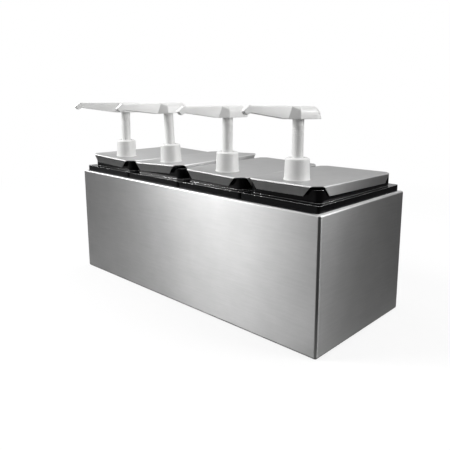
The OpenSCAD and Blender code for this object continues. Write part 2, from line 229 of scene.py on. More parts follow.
def bevelled(piece, width, segments, angle, clamped=True):
    """Breaks all edges that are sharper than an angle."""
    modified(piece, "BEVEL", width=width, segments=segments, limit_method="ANGLE",
             angle_limit=math.radians(angle), use_clamp_overlap=clamped)


def shaded(piece):
    """Shades the flats flat and the bends smooth."""
    alone(piece)
    bpy.ops.object.shade_smooth_by_angle(angle=math.radians(40))
    modified(piece, "WEIGHTED_NORMAL", keep_sharp=True)
    return piece


def turned(name, profile, sides=96):
    """A ring or disc turned about the Z axis from a closed run of (radius, height) points."""
    radius, height = profile[0]
    piece = start(name, bpy.ops.mesh.primitive_circle_add, vertices=sides, radius=radius,
                  location=(0, 0, height), fill_type="NOTHING")
    for next_radius, next_height in profile[1:] + profile[:1]:
        extrude(z=next_height - height)
        share = next_radius / radius
        widen(share, share, 1)
        radius, height = next_radius, next_height
    cleaned(1e-6)
    return shaded(done_editing(piece))


def placed(piece, name, matrix):
    """A copy of a finished shape with a mesh of its own, put in its place."""
    copy = piece.copy()
    copy.data = piece.data.copy()
    copy.name = copy.data.name = name
    copy.data.transform(matrix)
    bpy.context.scene.collection.objects.link(copy)
    return copy


def drop(*blanks):
    """Removes shapes that served only to be copied."""
    for blank in blanks:
        bpy.data.objects.remove(blank)


def dressed(piece, material, slot, body, *nodes):
    """Gives a piece its material, sets it on its body and hides the nodes that it
    stands for. The slot it is given is not used."""
    piece.data.materials.clear()
    piece.data.materials.append(material)
    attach(piece, body)
    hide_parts(*nodes)
    return piece


# ---- placing ----

def station_x(i):
    """Where the middle of a station lies along the box."""
    return (i - 2.5) * PITCH


def turn_edge(angle, half):
    """The edge of the neck that a lid sitting askew turns about."""
    return 0 if angle == 0 else (-half if angle > 0 else half)


def at_lid(i):
    """Place of a lid, from the middle of its top face."""
    roll, lean = LID_ROLL[i - 1], LID_PITCH[i - 1]
    pivot = Vector((turn_edge(roll, NECK_W / 2), turn_edge(lean, NECK_D / 2), -LID_T))
    slid = Vector((LID_SLIDE[i - 1], -LID_FORWARD, 0))
    tilt = Euler((math.radians(lean), math.radians(-roll), 0), "XYZ").to_matrix().to_4x4()
    return (Matrix.Translation((station_x(i), 0, PLATE_Z)) @ Matrix.Translation(pivot)
            @ tilt @ Matrix.Translation(slid - pivot))


def at_pump(i):
    """Place of a pump, from where its axis meets the lid's top face."""
    return at_lid(i) @ Matrix.Translation((PUMP_SIDE, -PUMP_FRONT, 0))


def at_head(i):
    """Place of a pump head whose spout runs along +X, from the foot of its axis."""
    aim = Matrix.Rotation(math.radians(-90 - SPOUT_TURN[i - 1]), 4, "Z")
    return at_pump(i) @ aim @ Matrix.Translation((0, 0, HEAD_Z))


# ---- shader helpers ----

def grey(level):
    """A plain grey colour."""
    return (level, level, level, 1)


def new_material(name, **values):
    """A material with a Principled BSDF whose plain values are set on its own sockets."""
    material = bpy.data.materials.new(name)
    material.use_nodes = True
    shader = material.node_tree.nodes["Principled BSDF"]
    for key, value in values.items():
        shader.inputs[key.replace("_", " ")].default_value = value
    return material, material.node_tree, shader


def add(tree, kind, at=(0, 0), **values):
    """A node with its own settings and the plain values of its sockets, _ standing for a space."""
    node = tree.nodes.new(kind)
    node.location = at
    for key, value in values.items():
        if hasattr(node, key):
            setattr(node, key, value)
        else:
            node.inputs[key.replace("_", " ")].default_value = value
    return node


def join(tree, source, target):
    """Links an output to an input."""
    tree.links.new(source, target)


def feed(tree, target, value):
    """Links an output to an input, or sets the input's plain value."""
    if isinstance(value, bpy.types.NodeSocket):
        join(tree, value, target)
    else:
        target.default_value = value


def object_place(tree, at):
    """The place of a point in the object's own frame."""
    return add(tree, "ShaderNodeTexCoord", at).outputs["Object"]


def split(tree, vector, at=(0, 0)):
    """The X, Y and Z of a vector, as outputs."""
    node = add(tree, "ShaderNodeSeparateXYZ", at)
    join(tree, vector, node.inputs["Vector"])
    return node.outputs


def vector_of(tree, x, y, z, at=(0, 0)):
    """A vector from three outputs or plain values."""
    node = add(tree, "ShaderNodeCombineXYZ", at)
    for label, value in zip("XYZ", (x, y, z)):
        feed(tree, node.inputs[label], value)
    return node.outputs["Vector"]


def on_vector(tree, operation, vector, at=(0, 0)):
    """A Vector Math node on one vector."""
    node = add(tree, "ShaderNodeVectorMath", at, operation=operation)
    join(tree, vector, node.inputs[0])
    return node


def maths(tree, operation, first, second, at=(0, 0)):
    """A Math node on two outputs or plain values."""
    node = add(tree, "ShaderNodeMath", at, operation=operation)
    feed(tree, node.inputs[0], first)
    feed(tree, node.inputs[1], second)
    return node.outputs["Value"]


def ranged(tree, value, source, target=(0, 1), at=(0, 0), **settings):
    """Maps a value from one range to another and holds it there."""
    node = add(tree, "ShaderNodeMapRange", at, From_Min=source[0], From_Max=source[1],
               To_Min=target[0], To_Max=target[1], **settings)
    join(tree, value, node.inputs["Value"])
    return node.outputs["Result"]


def ramp(tree, source, stops, at=(0, 0)):
    """A colour ramp on a value: stops are (position, grey or colour)."""
    node = add(tree, "ShaderNodeValToRGB", at)
    marks = node.color_ramp.elements
    while len(marks) < len(stops):
        marks.new(0.5)
    for mark, (position, colour) in zip(marks, stops):
        mark.position = position
        mark.color = (*colour, 1) if isinstance(colour, tuple) else grey(colour)
    join(tree, source, node.inputs["Fac"])
    return node.outputs["Color"]


def mixed(tree, factor, first, second, at=(0, 0), **settings):
    """Mixes two colours by a factor; each is an output or a plain value."""
    node = add(tree, "ShaderNodeMix", at, data_type="RGBA", **settings)
    colour_a, colour_b, colour_out = node.inputs[6], node.inputs[7], node.outputs[2]
    feed(tree, node.inputs["Factor"], factor)
    feed(tree, colour_a, first)
    feed(tree, colour_b, second)
    return colour_out


def mixed_shaders(tree, factor, first, second, at=(0, 0)):
    """Mixes two shaders by a factor."""
    node = add(tree, "ShaderNodeMixShader", at)
    for target, source in zip(node.inputs, (factor, first, second)):
        join(tree, source, target)
    return node.outputs["Shader"]


def noise(tree, place, scale, detail, rough, at=(0, 0)):
    """Noise at a place; its scale is an output or a plain value."""
    node = add(tree, "ShaderNodeTexNoise", at, Detail=detail, Roughness=rough)
    join(tree, place, node.inputs["Vector"])
    feed(tree, node.inputs["Scale"], scale)
    return node.outputs["Fac"]


def bumped(tree, shader, height, strength, distance, at=(0, -400), under=None):
    """Raises a shader's surface by a height, on top of the bump under it."""
    node = add(tree, "ShaderNodeBump", at, Strength=strength, Distance=distance)
    join(tree, height, node.inputs["Height"])
    if under is not None:
        join(tree, under, node.inputs["Normal"])
    join(tree, node.outputs["Normal"], shader.inputs["Normal"])
    return node.outputs["Normal"]


def group(name, inputs, outputs):
    """A shader node group: inputs are named with their plain values, outputs are named."""
    tree = bpy.data.node_groups.new(name, "ShaderNodeTree")
    for label, value in inputs.items():
        kind = "NodeSocketVector" if isinstance(value, tuple) else "NodeSocketFloat"
        tree.interface.new_socket(label, in_out="INPUT", socket_type=kind).default_value = value
    for label in outputs:
        tree.interface.new_socket(label, in_out="OUTPUT", socket_type="NodeSocketFloat")
    return tree, add(tree, "NodeGroupInput", (-900, 0)).outputs


def give(tree, results):
    """Ends a node group with what it gives out."""
    out = add(tree, "NodeGroupOutput", (700, 0))
    for label, source in results.items():
        join(tree, source, out.inputs[label])
    return tree


def use(tree, effect, at=(0, 0), **values):
    """Puts a node group into a material, with the plain values of its inputs."""
    node = add(tree, "ShaderNodeGroup", at)
    node.node_tree = effect
    for key, value in values.items():
        node.inputs[key.replace("_", " ")].default_value = value
    return node.outputs


# ---- node groups shared by the finishes ----

def make_grain():
    """Brushed lines that turn down over the folds, and the slow clouds that lie over them."""
    tree, given = group("brushed_grain",
                        {"Stretch": (1, 1, 0.05), "Fineness": 900, "Cloud Size": 14},
                        ("Lines", "Clouds"))
    place = object_place(tree, (-1500, 300))
    spot = split(tree, place, (-1300, 400))
    facing = add(tree, "ShaderNodeNewGeometry", (-1500, 0)).outputs["Normal"]
    size = on_vector(tree, "ABSOLUTE", facing, (-1300, 100)).outputs["Vector"]
    sideways = split(tree, size, (-1100, 100))["X"]
    across = add(tree, "ShaderNodeMix", (-1000, 400))
    for label, source in (("Factor", sideways), ("A", spot["X"]), ("B", spot["Z"])):
        join(tree, source, across.inputs[label])
    folded = vector_of(tree, across.outputs["Result"], spot["Y"], spot["Z"], (-800, 400))
    mapping = add(tree, "ShaderNodeMapping", (-650, 300))
    join(tree, folded, mapping.inputs["Vector"])
    join(tree, given["Stretch"], mapping.inputs["Scale"])
    lines = noise(tree, mapping.outputs["Vector"], given["Fineness"],
                  detail=6, rough=0.72, at=(-400, 300))
    clouds = noise(tree, place, given["Cloud Size"],
                   detail=5, rough=0.55, at=(-400, 0))
    return give(tree, {"Lines": lines, "Clouds": clouds})


def make_handling():
    """Fine rubbing and faint smears that moulded and drawn parts pick up in use, and rubbing
    along the sharp edges alone."""
    tree, given = group("handling_marks", {"Smear Size": 30, "Scuff Size": 300},
                        ("Smears", "Scuffs", "Edges"))
    place = object_place(tree, (-900, 300))
    smears = noise(tree, place, given["Smear Size"], detail=6, rough=0.6, at=(-500, 300))
    scuffs = noise(tree, place, given["Scuff Size"], detail=8, rough=0.75, at=(-500, 0))
    pointed = add(tree, "ShaderNodeNewGeometry", (-900, -300)).outputs["Pointiness"]
    edges = ranged(tree, pointed, (0.52, 0.62), at=(-300, -300))
    rubbed = maths(tree, "MULTIPLY", edges, scuffs, (0, -200))
    return give(tree, {"Smears": smears, "Scuffs": scuffs, "Edges": rubbed})


def make_folds():
    """Masks of the rounded-over edges, which the finishes use for painted highlight and painted
    shade: those that face up, those that face down, all slanted, and the creases, which are the
    upright corners, fainter near the foot, and the foot itself."""
    tree, _ = group("folded_edges", {}, ("Upward", "Downward", "Slanted", "Creases"))
    facing = add(tree, "ShaderNodeNewGeometry", (-900, 0)).outputs["Normal"]
    up = split(tree, facing, (-700, 200))["Z"]
    rise = ranged(tree, up, (0.1, 0.4), at=(-400, 400))
    not_level = ranged(tree, up, (0.9, 0.995), (1, 0), (-400, 150))
    upward = maths(tree, "MULTIPLY", rise, not_level, (-100, 300))
    downward = ranged(tree, up, (-0.45, -0.8), at=(-400, -100))

    size = on_vector(tree, "ABSOLUTE", facing, (-700, -300)).outputs["Vector"]
    sizes = split(tree, size, (-500, -300))
    sideways = maths(tree, "MAXIMUM", sizes["X"], sizes["Y"], (-300, -300))
    most = maths(tree, "MAXIMUM", sideways, sizes["Z"], (-100, -300))
    slanted = ranged(tree, most, (0.99, 0.88), at=(100, -300))

    # The creases mask says where painted shade goes: the upright corners, weaker towards the
    # bottom, and the foot
    both = maths(tree, "MULTIPLY", sizes["X"], sizes["Y"], (-300, -600))
    corner = ranged(tree, both, (0.08, 0.3), at=(-100, -600))
    height = split(tree, object_place(tree, (-900, -800)), (-700, -800))["Z"]
    fade = ranged(tree, height, (0, 0.07), (0.3, 1), (-500, -800))
    faded = maths(tree, "MULTIPLY", corner, fade, (100, -600))
    foot = ranged(tree, up, (-0.03, -0.2), at=(-100, -800))
    creases = maths(tree, "MAXIMUM", faded, foot, (300, -600))
    return give(tree, {"Upward": upward, "Downward": downward, "Slanted": slanted,
                       "Creases": creases})


GRAIN, HANDLING, FOLDS = make_grain(), make_handling(), make_folds()


# ---- finishes ----

def brushed_steel(name, dark, light, stretch, across, roughness, edge, crease_shade_amount):
    """Brushed stainless sheet with a painted highlight along its folds, painted shade along its
    foot and painted shade in its creases. Its gloss spreads across the brushing: across is that
    direction, edge the mask of the folds that get the painted highlight, and the last argument how
    much painted shade darkens its creases."""
    material, tree, shader = new_material(name, Metallic=1.0, Anisotropic=0.95)
    lines = use(tree, GRAIN, (-900, 200), Stretch=stretch, Fineness=280, Cloud_Size=22)
    marks = use(tree, HANDLING, (-900, -200), Smear_Size=9, Scuff_Size=160)
    bends = use(tree, FOLDS, (-900, 700))

    clouded = ramp(tree, lines["Clouds"], [(0.3, dark), (0.7, light)], (-600, 200))
    line_shade = ramp(tree, lines["Lines"], [(0.3, 0.91), (0.7, 1.0)], (-600, 500))
    lined = mixed(tree, 1, clouded, line_shade, (-300, 300), blend_type="MULTIPLY")
    # Painted highlight: the folds that the edge mask picks turn light grey
    painted_fold_highlight = mixed(tree, bends[edge], lined, grey(0.72), (-100, 300))
    # Painted shade: the downward-facing foot and undersides turn dark grey
    painted_foot_shade = mixed(tree, bends["Downward"], painted_fold_highlight, grey(0.2), (100, 300))
    # Painted shade in the creases: the upright corners and the foot darken by the last argument's
    # share
    crease_shade_factor = maths(tree, "MULTIPLY", bends["Creases"], crease_shade_amount, (100, 600))
    painted_crease_shade = mixed(tree, crease_shade_factor, painted_foot_shade, grey(0.1), (300, 300))
    join(tree, painted_crease_shade, shader.inputs["Base Color"])

    gloss = ranged(tree, marks["Smears"], (0, 1), (roughness - 0.03, roughness + 0.04), (-300, 0))
    join(tree, gloss, shader.inputs["Roughness"])
    under = bumped(tree, shader, lines["Lines"], strength=0.03, distance=0.2 * MM,
                   at=(-300, -300))
    bumped(tree, shader, marks["Smears"], strength=0.03, distance=4 * MM, at=(-100, -400),
           under=under)
    join(tree, vector_of(tree, *across, (-300, -600)), shader.inputs["Tangent"])
    return material


def moulded(name, colour, shade, roughness, coat=0.0, fleck=0.03):
    """Injection-moulded plastic: faint colour drift, satin scuffs and a fine surface."""
    material, tree, shader = new_material(name, Coat_Weight=coat, Coat_Roughness=0.08)
    marks = use(tree, HANDLING, (-900, 0), Smear_Size=26, Scuff_Size=420)
    drift = ramp(tree, marks["Smears"], [(0.35, shade), (0.65, colour)], (-600, 200))
    worn = tuple(min(1, c + fleck) for c in colour)
    tint = mixed(tree, marks["Edges"], drift, (*worn, 1), (-300, 200))
    join(tree, tint, shader.inputs["Base Color"])
    gloss = ranged(tree, marks["Scuffs"], (0, 1), (roughness - 0.05, roughness + 0.1),
                   (-300, -100))
    join(tree, gloss, shader.inputs["Roughness"])
    bumped(tree, shader, marks["Scuffs"], strength=0.05, distance=0.3 * MM, at=(-300, -400))
    return material


def gloss_black(name, colour, roughness):
    """Deep black gloss with painted highlights: its rounded-over edges turn light and metallic in
    thin broken lines.
    """
    material, tree, shader = new_material(name, Specular_IOR_Level=0.2)
    marks = use(tree, HANDLING, (-900, 0), Smear_Size=60, Scuff_Size=420)
    bends = use(tree, FOLDS, (-900, 300))
    broken = ramp(tree, marks["Smears"], [(0.38, 0.4), (0.55, 1.0)], (-600, 0))
    # Painted highlight: the upward-facing rounded edges turn light grey and metallic, in broken
    # lines
    painted_glint = maths(tree, "MULTIPLY", bends["Upward"], broken, (-300, 100))
    tint = mixed(tree, painted_glint, (*colour, 1), grey(0.8), (0, 200))
    join(tree, tint, shader.inputs["Base Color"])
    join(tree, painted_glint, shader.inputs["Metallic"])
    gloss = ranged(tree, marks["Scuffs"], (0, 1), (roughness - 0.04, roughness + 0.1),
                   (-300, -200))
    join(tree, gloss, shader.inputs["Roughness"])
    bumped(tree, shader, marks["Smears"], strength=0.06, distance=2 * MM, at=(-300, -500))
    return material


def drawn_wire(name, dark, light):
    """Bright drawn spring wire with fine length-wise lines."""
    material, tree, shader = new_material(name, Metallic=1.0)
    lines = use(tree, GRAIN, (-700, 0), Stretch=(1, 1, 1), Fineness=1500, Cloud_Size=60)
    colour = ramp(tree, lines["Clouds"], [(0.3, dark), (0.7, light)], (-300, 200))
    join(tree, colour, shader.inputs["Base Color"])
    gloss = ramp(tree, lines["Lines"], [(0.3, 0.14), (0.7, 0.3)], (-300, -100))
    join(tree, gloss, shader.inputs["Roughness"])
    bumped(tree, shader, lines["Lines"], strength=0.04, distance=0.1 * MM)
    return material


box_steel = brushed_steel("box_brushed_steel", dark=0.47, light=0.51, stretch=(0.06, 0.06, 1),
                          across=(-0.16, 0.03, 1), roughness=0.4, edge="Upward", crease_shade_amount=0.68)
lid_steel = brushed_steel("lid_brushed_steel", dark=0.43, light=0.47, stretch=(1, 0.04, 0.04),
                          across=(1, 0, 0.05), roughness=0.36, edge="Slanted", crease_shade_amount=0)
jar_black = gloss_black("jar_black_gloss", (0.004, 0.004, 0.0045), roughness=0.13)
fitting_black = moulded("fitting_black", (0.03, 0.03, 0.032), (0.02, 0.02, 0.022), roughness=0.45)
pump_white = moulded("pump_white_plastic", (0.86, 0.86, 0.85), (0.82, 0.82, 0.81), roughness=0.3,
                     coat=0.25, fleck=0.04)
guide_pale = moulded("guide_milky_plastic", (0.72, 0.73, 0.73), (0.66, 0.67, 0.67),
                     roughness=0.42)
wire_steel = drawn_wire("drawn_wire_steel", (0.42, 0.42, 0.43), (0.62, 0.62, 0.63))


# ---- box ----

def make_box():
    """Folded sheet box, open at the top with an inward flange."""
    low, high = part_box("box_shell")
    piece = block("steel_box", low, high)
    round_off(upright, BOX_CORNER_R, segments=6)
    round_off(level_at(low.z), FLOOR_BEND_R, segments=5)
    round_off(level_at(high.z), TOP_BEND_R, segments=5)
    sheet(done_editing(piece), SHEET_T)
    way_in = block("way_in", (low.x + FLANGE_W, low.y + FLANGE_W, high.z - 4 * SHEET_T),
                   (high.x - FLANGE_W, high.y - FLANGE_W, high.z + SHEET_T))
    round_off(upright, BOX_CORNER_R, segments=6)
    combined(piece, "DIFFERENCE", done_editing(way_in))
    bevelled(piece, 0.2 * MM, segments=2, angle=50)
    dressed(shaded(piece), box_steel, "steel", "box", "box_shell")


# ---- jars ----

def make_jar_body():
    """Jar with its cavity, straight in the neck and tapered from the rim down."""
    foot_w = (NECK_W - 2 * JAR_DRAFT) / NECK_W
    foot_d = (NECK_D - 2 * JAR_DRAFT) / NECK_D
    body = column("jar_blank", NECK_W, NECK_D, JAR_LIFT, NECK_TOP)
    bpy.ops.mesh.bisect(plane_co=(0, 0, BOX_H), plane_no=(0, 0, 1))
    pick("VERT", lambda co: co.z < JAR_LIFT + NEAR)
    widen(foot_w, foot_d, 1, (0, 0, JAR_LIFT))
    round_off(upright, NECK_CORNER_R, segments=8)
    round_off(level_at(JAR_LIFT), JAR_BOTTOM_R, segments=5)
    pick("FACE", lambda middle, normal: middle.z > NECK_TOP - NEAR and normal.z > 0.9)
    bpy.ops.mesh.inset(thickness=JAR_WALL)
    extrude(z=BOX_H - NECK_TOP)
    extrude(z=JAR_LIFT + JAR_WALL - BOX_H)
    widen(foot_w, foot_d)
    return done_editing(body)


def make_jar_rim():
    """Thick ring that the jar hangs by, hollow from below."""
    overlap, spare = 2 * MM, 3 * MM
    rim = column("jar_rim", RIM_W, RIM_D, BOX_H, BOX_H + RIM_H)
    round_off(upright, RIM_CORNER_R, segments=5)
    pick("FACE", lambda middle, normal: normal.z < -0.9)
    bpy.ops.mesh.inset(thickness=JAR_WALL)
    extrude(z=RIM_H - JAR_WALL)
    done_editing(rim)
    core = column("rim_core", NECK_W - 2 * overlap, NECK_D - 2 * overlap,
                  BOX_H - spare, BOX_H + RIM_H + spare)
    round_off(upright, NECK_CORNER_R - overlap, segments=8)
    combined(rim, "DIFFERENCE", done_editing(core))
    return rim


def make_jars():
    """Body and rim joined into one jar, and a copy of it for each station."""
    jar = make_jar_body()
    combined(jar, "UNION", make_jar_rim())
    bevelled(jar, 1.4 * MM, segments=4, angle=35)
    shaded(jar)
    for i in STATIONS:
        dressed(placed(jar, f"black_jar_{i}", Matrix.Translation((station_x(i), 0, 0))),
                jar_black, "black_gloss", f"jar_{i}", f"jar_{i}")
    drop(jar)


# ---- lids ----

def open_below(middle, normal):
    """Test of the lid block's underside and of the faces that clip its corners."""
    clipped = abs(normal.z) < 0.1 and abs(abs(normal.x) - abs(normal.y)) < 0.3
    return normal.z < -0.9 or clipped


def plate_edge(middle, run):
    """Test of the four straight edges between a lid's plate and its skirts."""
    outer = abs(abs(middle.x) - LID_W / 2) < NEAR or abs(abs(middle.y) - LID_D / 2) < NEAR
    return middle.z > -NEAR and outer


def make_lid_blank():
    """Folded lid with sloping skirts, about the middle of its plate's top face."""
    lid = column("lid_blank", LID_W, LID_D, -SKIRT_H, 0)
    round_off(upright, CORNER_CUT, segments=1)
    pick("FACE", open_below)
    bpy.ops.mesh.delete(type="FACE")
    for axis, length in enumerate((LID_W, LID_D)):
        half = length / 2 - CORNER_CUT
        pick("VERT", lambda co: co.z < -SKIRT_H + NEAR and abs(co[axis]) < half + NEAR)
        share = (half + LID_BEND_R - SKIRT_H) / half
        widen(*((share, 1) if axis == 0 else (1, share)))
    round_off(plate_edge, LID_BEND_R, segments=5)
    sheet(done_editing(lid), LID_T)
    drilled(lid, "lid_hole", sides=64, radius=LID_HOLE_R, depth=8 * LID_T,
            middle=(PUMP_SIDE, -PUMP_FRONT, 0))
    bevelled(lid, 0.15 * MM, segments=2, angle=50)
    return shaded(lid)


def make_lids():
    """A copy of the lid for each station, lying in its own way."""
    lid = make_lid_blank()
    for i in STATIONS:
        dressed(placed(lid, f"steel_lid_{i}", at_lid(i)), lid_steel, "steel", f"lid_{i}",
                f"lid_{i}")
    drop(lid)


# ---- pumps ----

def make_washer_blank():
    """Flat disc between the collar and the lid."""
    edge = 0.25 * MM
    return turned("washer_blank", [
        (LID_HOLE_R, 0), (WASHER_R, 0), (WASHER_R, WASHER_T - edge), (WASHER_R - edge, WASHER_T),
        (LID_HOLE_R, WASHER_T)])


def make_collar_blank():
    """Tapered collar nut with a small foot, a rounded shoulder and an open mouth."""
    foot_top, foot_r = 1.6 * MM, COLLAR_OUT_R + 0.35 * MM
    foot_edge_r, foot_edge_z = foot_r - 0.2 * MM, WASHER_T + 0.3 * MM
    side_foot_r, side_foot_z = COLLAR_OUT_R - 0.1 * MM, foot_top + 0.5 * MM
    mouth_edge_r, mouth_edge_z = COLLAR_MOUTH_R + 0.3 * MM, COLLAR_TOP - 0.4 * MM
    crown_r = COLLAR_MOUTH_R + 1 * MM
    steps = 10
    shoulder = [
        (crown_r + (COLLAR_TOP_R - crown_r) * math.cos(math.pi / 2 * k / steps),
         COLLAR_SIDE_TOP + (COLLAR_TOP - COLLAR_SIDE_TOP) * math.sin(math.pi / 2 * k / steps))
        for k in range(steps + 1)]
    return turned("collar_blank", [
        (COLLAR_IN_R, WASHER_T), (foot_edge_r, WASHER_T), (foot_r, foot_edge_z),
        (foot_r, foot_top), (side_foot_r, side_foot_z)] + shoulder + [
        (mouth_edge_r, COLLAR_TOP), (COLLAR_MOUTH_R, mouth_edge_z),
        (COLLAR_MOUTH_R, GUIDE_TOP), (COLLAR_IN_R, GUIDE_TOP)])


def make_stem_blank():
    """Stem with its passage, the piston's spigot and bead, and fine grooves under the head."""
    spigot_r, bead_r, bead_h = 5 * MM, 6.2 * MM, 3 * MM
    edge, bead_edge = 0.3 * MM, 0.6 * MM
    shoulder = PISTON_TOP + PISTON_GAP
    bead_top = PISTON_TOP - PISTON_H - PISTON_GAP
    bead_foot = bead_top - bead_h
    groove_count, groove_pitch, first_groove = 7, 2.2 * MM, HEAD_Z - 24 * MM
    groove_low, groove_high, groove_l = 0.25 * MM, 0.55 * MM, 0.8 * MM
    grooves = []
    for k in range(groove_count):
        z = first_groove + k * groove_pitch
        grooves += [(STEM_R, z), (STEM_R - edge, z + groove_low),
                    (STEM_R - edge, z + groove_high), (STEM_R, z + groove_l)]
    return turned("stem_blank", [
        (PASSAGE_R, bead_foot), (bead_r - bead_edge, bead_foot),
        (bead_r, bead_foot + bead_edge), (bead_r, bead_top), (spigot_r, bead_top),
        (spigot_r, shoulder), (STEM_R - edge, shoulder), (STEM_R, shoulder + edge)] + grooves + [
        (STEM_R, STEM_TOP), (PASSAGE_R, STEM_TOP)], sides=72)


# Sections of a head's shoulders, spout and beak, from the pad outward. Each has three rows from
# the bottom up: (reach from the axis, height, half width), in mm.
HEAD_SECTIONS = (
    ((10, 0, 15), (10, 12.2, 15), (8, 17.7, 11)),
    ((25, 0, 6), (17.6, 16.2, 6), (17, 17.7, 6)),
    ((86, 8.7, 4.25), (86, 15.2, 4.25), (86, 17.7, 4.25)),
    ((88, 7.8, 3.75), (88, 16.0, 3.75), (88, 18.9, 3.75)),
    ((92.5, 5.7, 3.75), (92.5, 12.6, 3.75), (92.5, 15.4, 3.6)),
    ((98, 10.9, 3.25), (98, 10.9, 3.25), (98, 10.9, 3.25)))


def extrude_sections():
    """Draws the spout out of the front of the head in edit mode, section by section."""
    step = 1 * MM
    for now, after in zip(HEAD_SECTIONS, HEAD_SECTIONS[1:]):
        least = min(reach for reach, _, _ in now) * MM
        pick("FACE", lambda middle, normal: middle.x > least - 1e-6 and normal.x > 0.3)
        extrude(x=step)
        for (reach, height, width), (new_reach, new_height, new_width) in zip(now, after):
            x, z = reach * MM + step, height * MM
            pick("VERT", lambda co: abs(co.x - x) < NEAR and abs(co.z - z) < NEAR)
            widen(1, new_width / width)
            push(x=new_reach * MM - x, z=new_height * MM - z)


def make_head_blank():
    """Pump head along +X from the pump's axis: thumb pad, shoulders, spout and beak."""
    front, back, half = 10 * MM, 38 * MM, 15 * MM
    side_z, side_back = 12.2 * MM, 33 * MM
    top_l, top_half, top_shift = 35 * MM, 11 * MM, 2 * MM
    spout_root, spout_half, margin = -20 * MM, 5 * MM, 0.1 * MM

    head = block("head_blank", (-back, -half, 0), (front, half, side_z))
    round_off(lambda middle, run: upright(middle, run) and middle.x < 0, 14 * MM, segments=12)
    pick("VERT", lambda co: co.z > side_z - NEAR)
    widen((side_back + front) / (back + front), 1, 1, (front, 0, 0))
    pick("FACE", lambda middle, normal: normal.z > 0.9)
    extrude(z=HEAD_H - side_z)
    widen(top_l / (side_back + front), top_half / half, 1, (front, 0, 0))
    push(x=-top_shift)
    extrude_sections()
    cleaned(NEAR)

    def level(middle, run, height):
        """Test of an edge that lies level at a height."""
        return abs(run.z) < 0.05 and abs(middle.z - height) < margin

    round_off(lambda middle, run: level(middle, run, side_z) and middle.x < front - margin,
              3 * MM, segments=4)
    # The rim of the pad's top, but nothing across the root of the spout
    round_off(lambda middle, run: level(middle, run, HEAD_H) and middle.x < front - 3 * MM
              and (abs(middle.y) > spout_half or middle.x < spout_root), 1.6 * MM, segments=3)
    done_editing(head)
    bevelled(head, 0.8 * MM, segments=3, angle=20, clamped=False)
    drilled(head, "head_bore", sides=48, radius=STEM_R + 0.05 * MM, depth=14 * MM,
            middle=(0, 0, 5 * MM))
    drilled(head, "head_channel", sides=24, radius=PASSAGE_R, depth=89.25 * MM,
            middle=(44.625 * MM, 0, 12.7 * MM), tilt=90)
    drilled(head, "head_outlet", sides=24, radius=OUTLET_R, depth=10 * MM,
            middle=(93.95 * MM, 0, 9.5 * MM), tilt=-45)
    return shaded(head)


def make_spring_blank():
    """Return spring under the piston: a round wire that climbs in even turns."""
    climb = (SPRING_L - 2 * WIRE_R) / SPRING_TURNS
    spring = start("spring_blank", bpy.ops.mesh.primitive_circle_add, vertices=10, radius=WIRE_R,
                   location=(SPRING_R, 0, SPRING_Z + WIRE_R), rotation=(math.pi / 2, 0, 0),
                   fill_type="NOTHING")
    done_editing(spring)
    modified(spring, "SCREW", axis="Z", angle=2 * math.pi, iterations=SPRING_TURNS,
             screw_offset=climb, steps=36, render_steps=36)
    bpy.ops.object.mode_set(mode="EDIT")
    bpy.ops.mesh.select_all(action="SELECT")
    bpy.ops.mesh.remove_doubles(threshold=1e-7)
    bpy.ops.mesh.fill_holes(sides=0)
    bpy.ops.mesh.normals_make_consistent(inside=False)
    done_editing(spring)
    bpy.ops.object.shade_smooth_by_angle(angle=math.radians(50))
    return spring


def make_springs():
    """A copy of the spring for each pump, set on its lid."""
    spring = make_spring_blank()
    for i in STATIONS:
        coil = dressed(placed(spring, f"spring_coil_{i}", at_pump(i)), wire_steel,
                       "wire_steel", f"lid_{i}", f"return_spring_{i}")
        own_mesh(coil)
    drop(spring)


def make_pumps():
    """The white parts of each pump: two that stay on the lid and two that move with the head."""
    washer, collar = make_washer_blank(), make_collar_blank()
    stem, head = make_stem_blank(), make_head_blank()
    for i in STATIONS:
        for blank, name, place, body, node in (
                (washer, "collar_washer_disc", at_pump, "lid", "collar_washer"),
                (collar, "collar_nut", at_pump, "lid", "pump_collar"),
                (stem, "stem_tube", at_pump, "head", "pump_stem"),
                (head, "spout_head", at_head, "head", "pump_head")):
            dressed(placed(blank, f"{name}_{i}", place(i)), pump_white, "white_plastic",
                    f"{body}_{i}", f"{node}_{i}")
    drop(washer, collar, stem, head)


def finish_inner_parts():
    """Materials of the CAD nodes that stay: fittings, guides, cylinders and their contents."""
    for kind, material in (("lid_fitting", fitting_black), ("stem_guide", guide_pale),
                           ("pump_cylinder", pump_white), ("piston", guide_pale),
                           ("valve_ball", wire_steel), ("dip_tube", guide_pale)):
        for i in STATIONS:
            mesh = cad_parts[f"{kind}_{i}"].data
            mesh.materials.clear()
            mesh.materials.append(material)


# ---- studio ----

WHITE = grey(1)
PLAIN_LIGHT = 0.36
FLOOR_SIZE = 30
# What gloss sees round the studio: (azimuth, level); 0 is in front of the object, 90 to its right
STUDIO_LEVELS = ((-180, 0.8), (-150, 0.68), (-122, 0.7), (-105, 0.3), (-70, 0.1), (-58, 0.08),
                 (-42, 0.3), (-33, 0.55), (-20, 0.5), (-8, 0.1), (20, 0.02), (95, 0.04),
                 (115, 0.4), (140, 0.5), (150, 0.3), (158, 0.15), (170, 0.4), (180, 0.8))
# How high up, as the Z of a unit vector, the studio's walls turn into its white ceiling
CEILING = (0.36, 0.7)


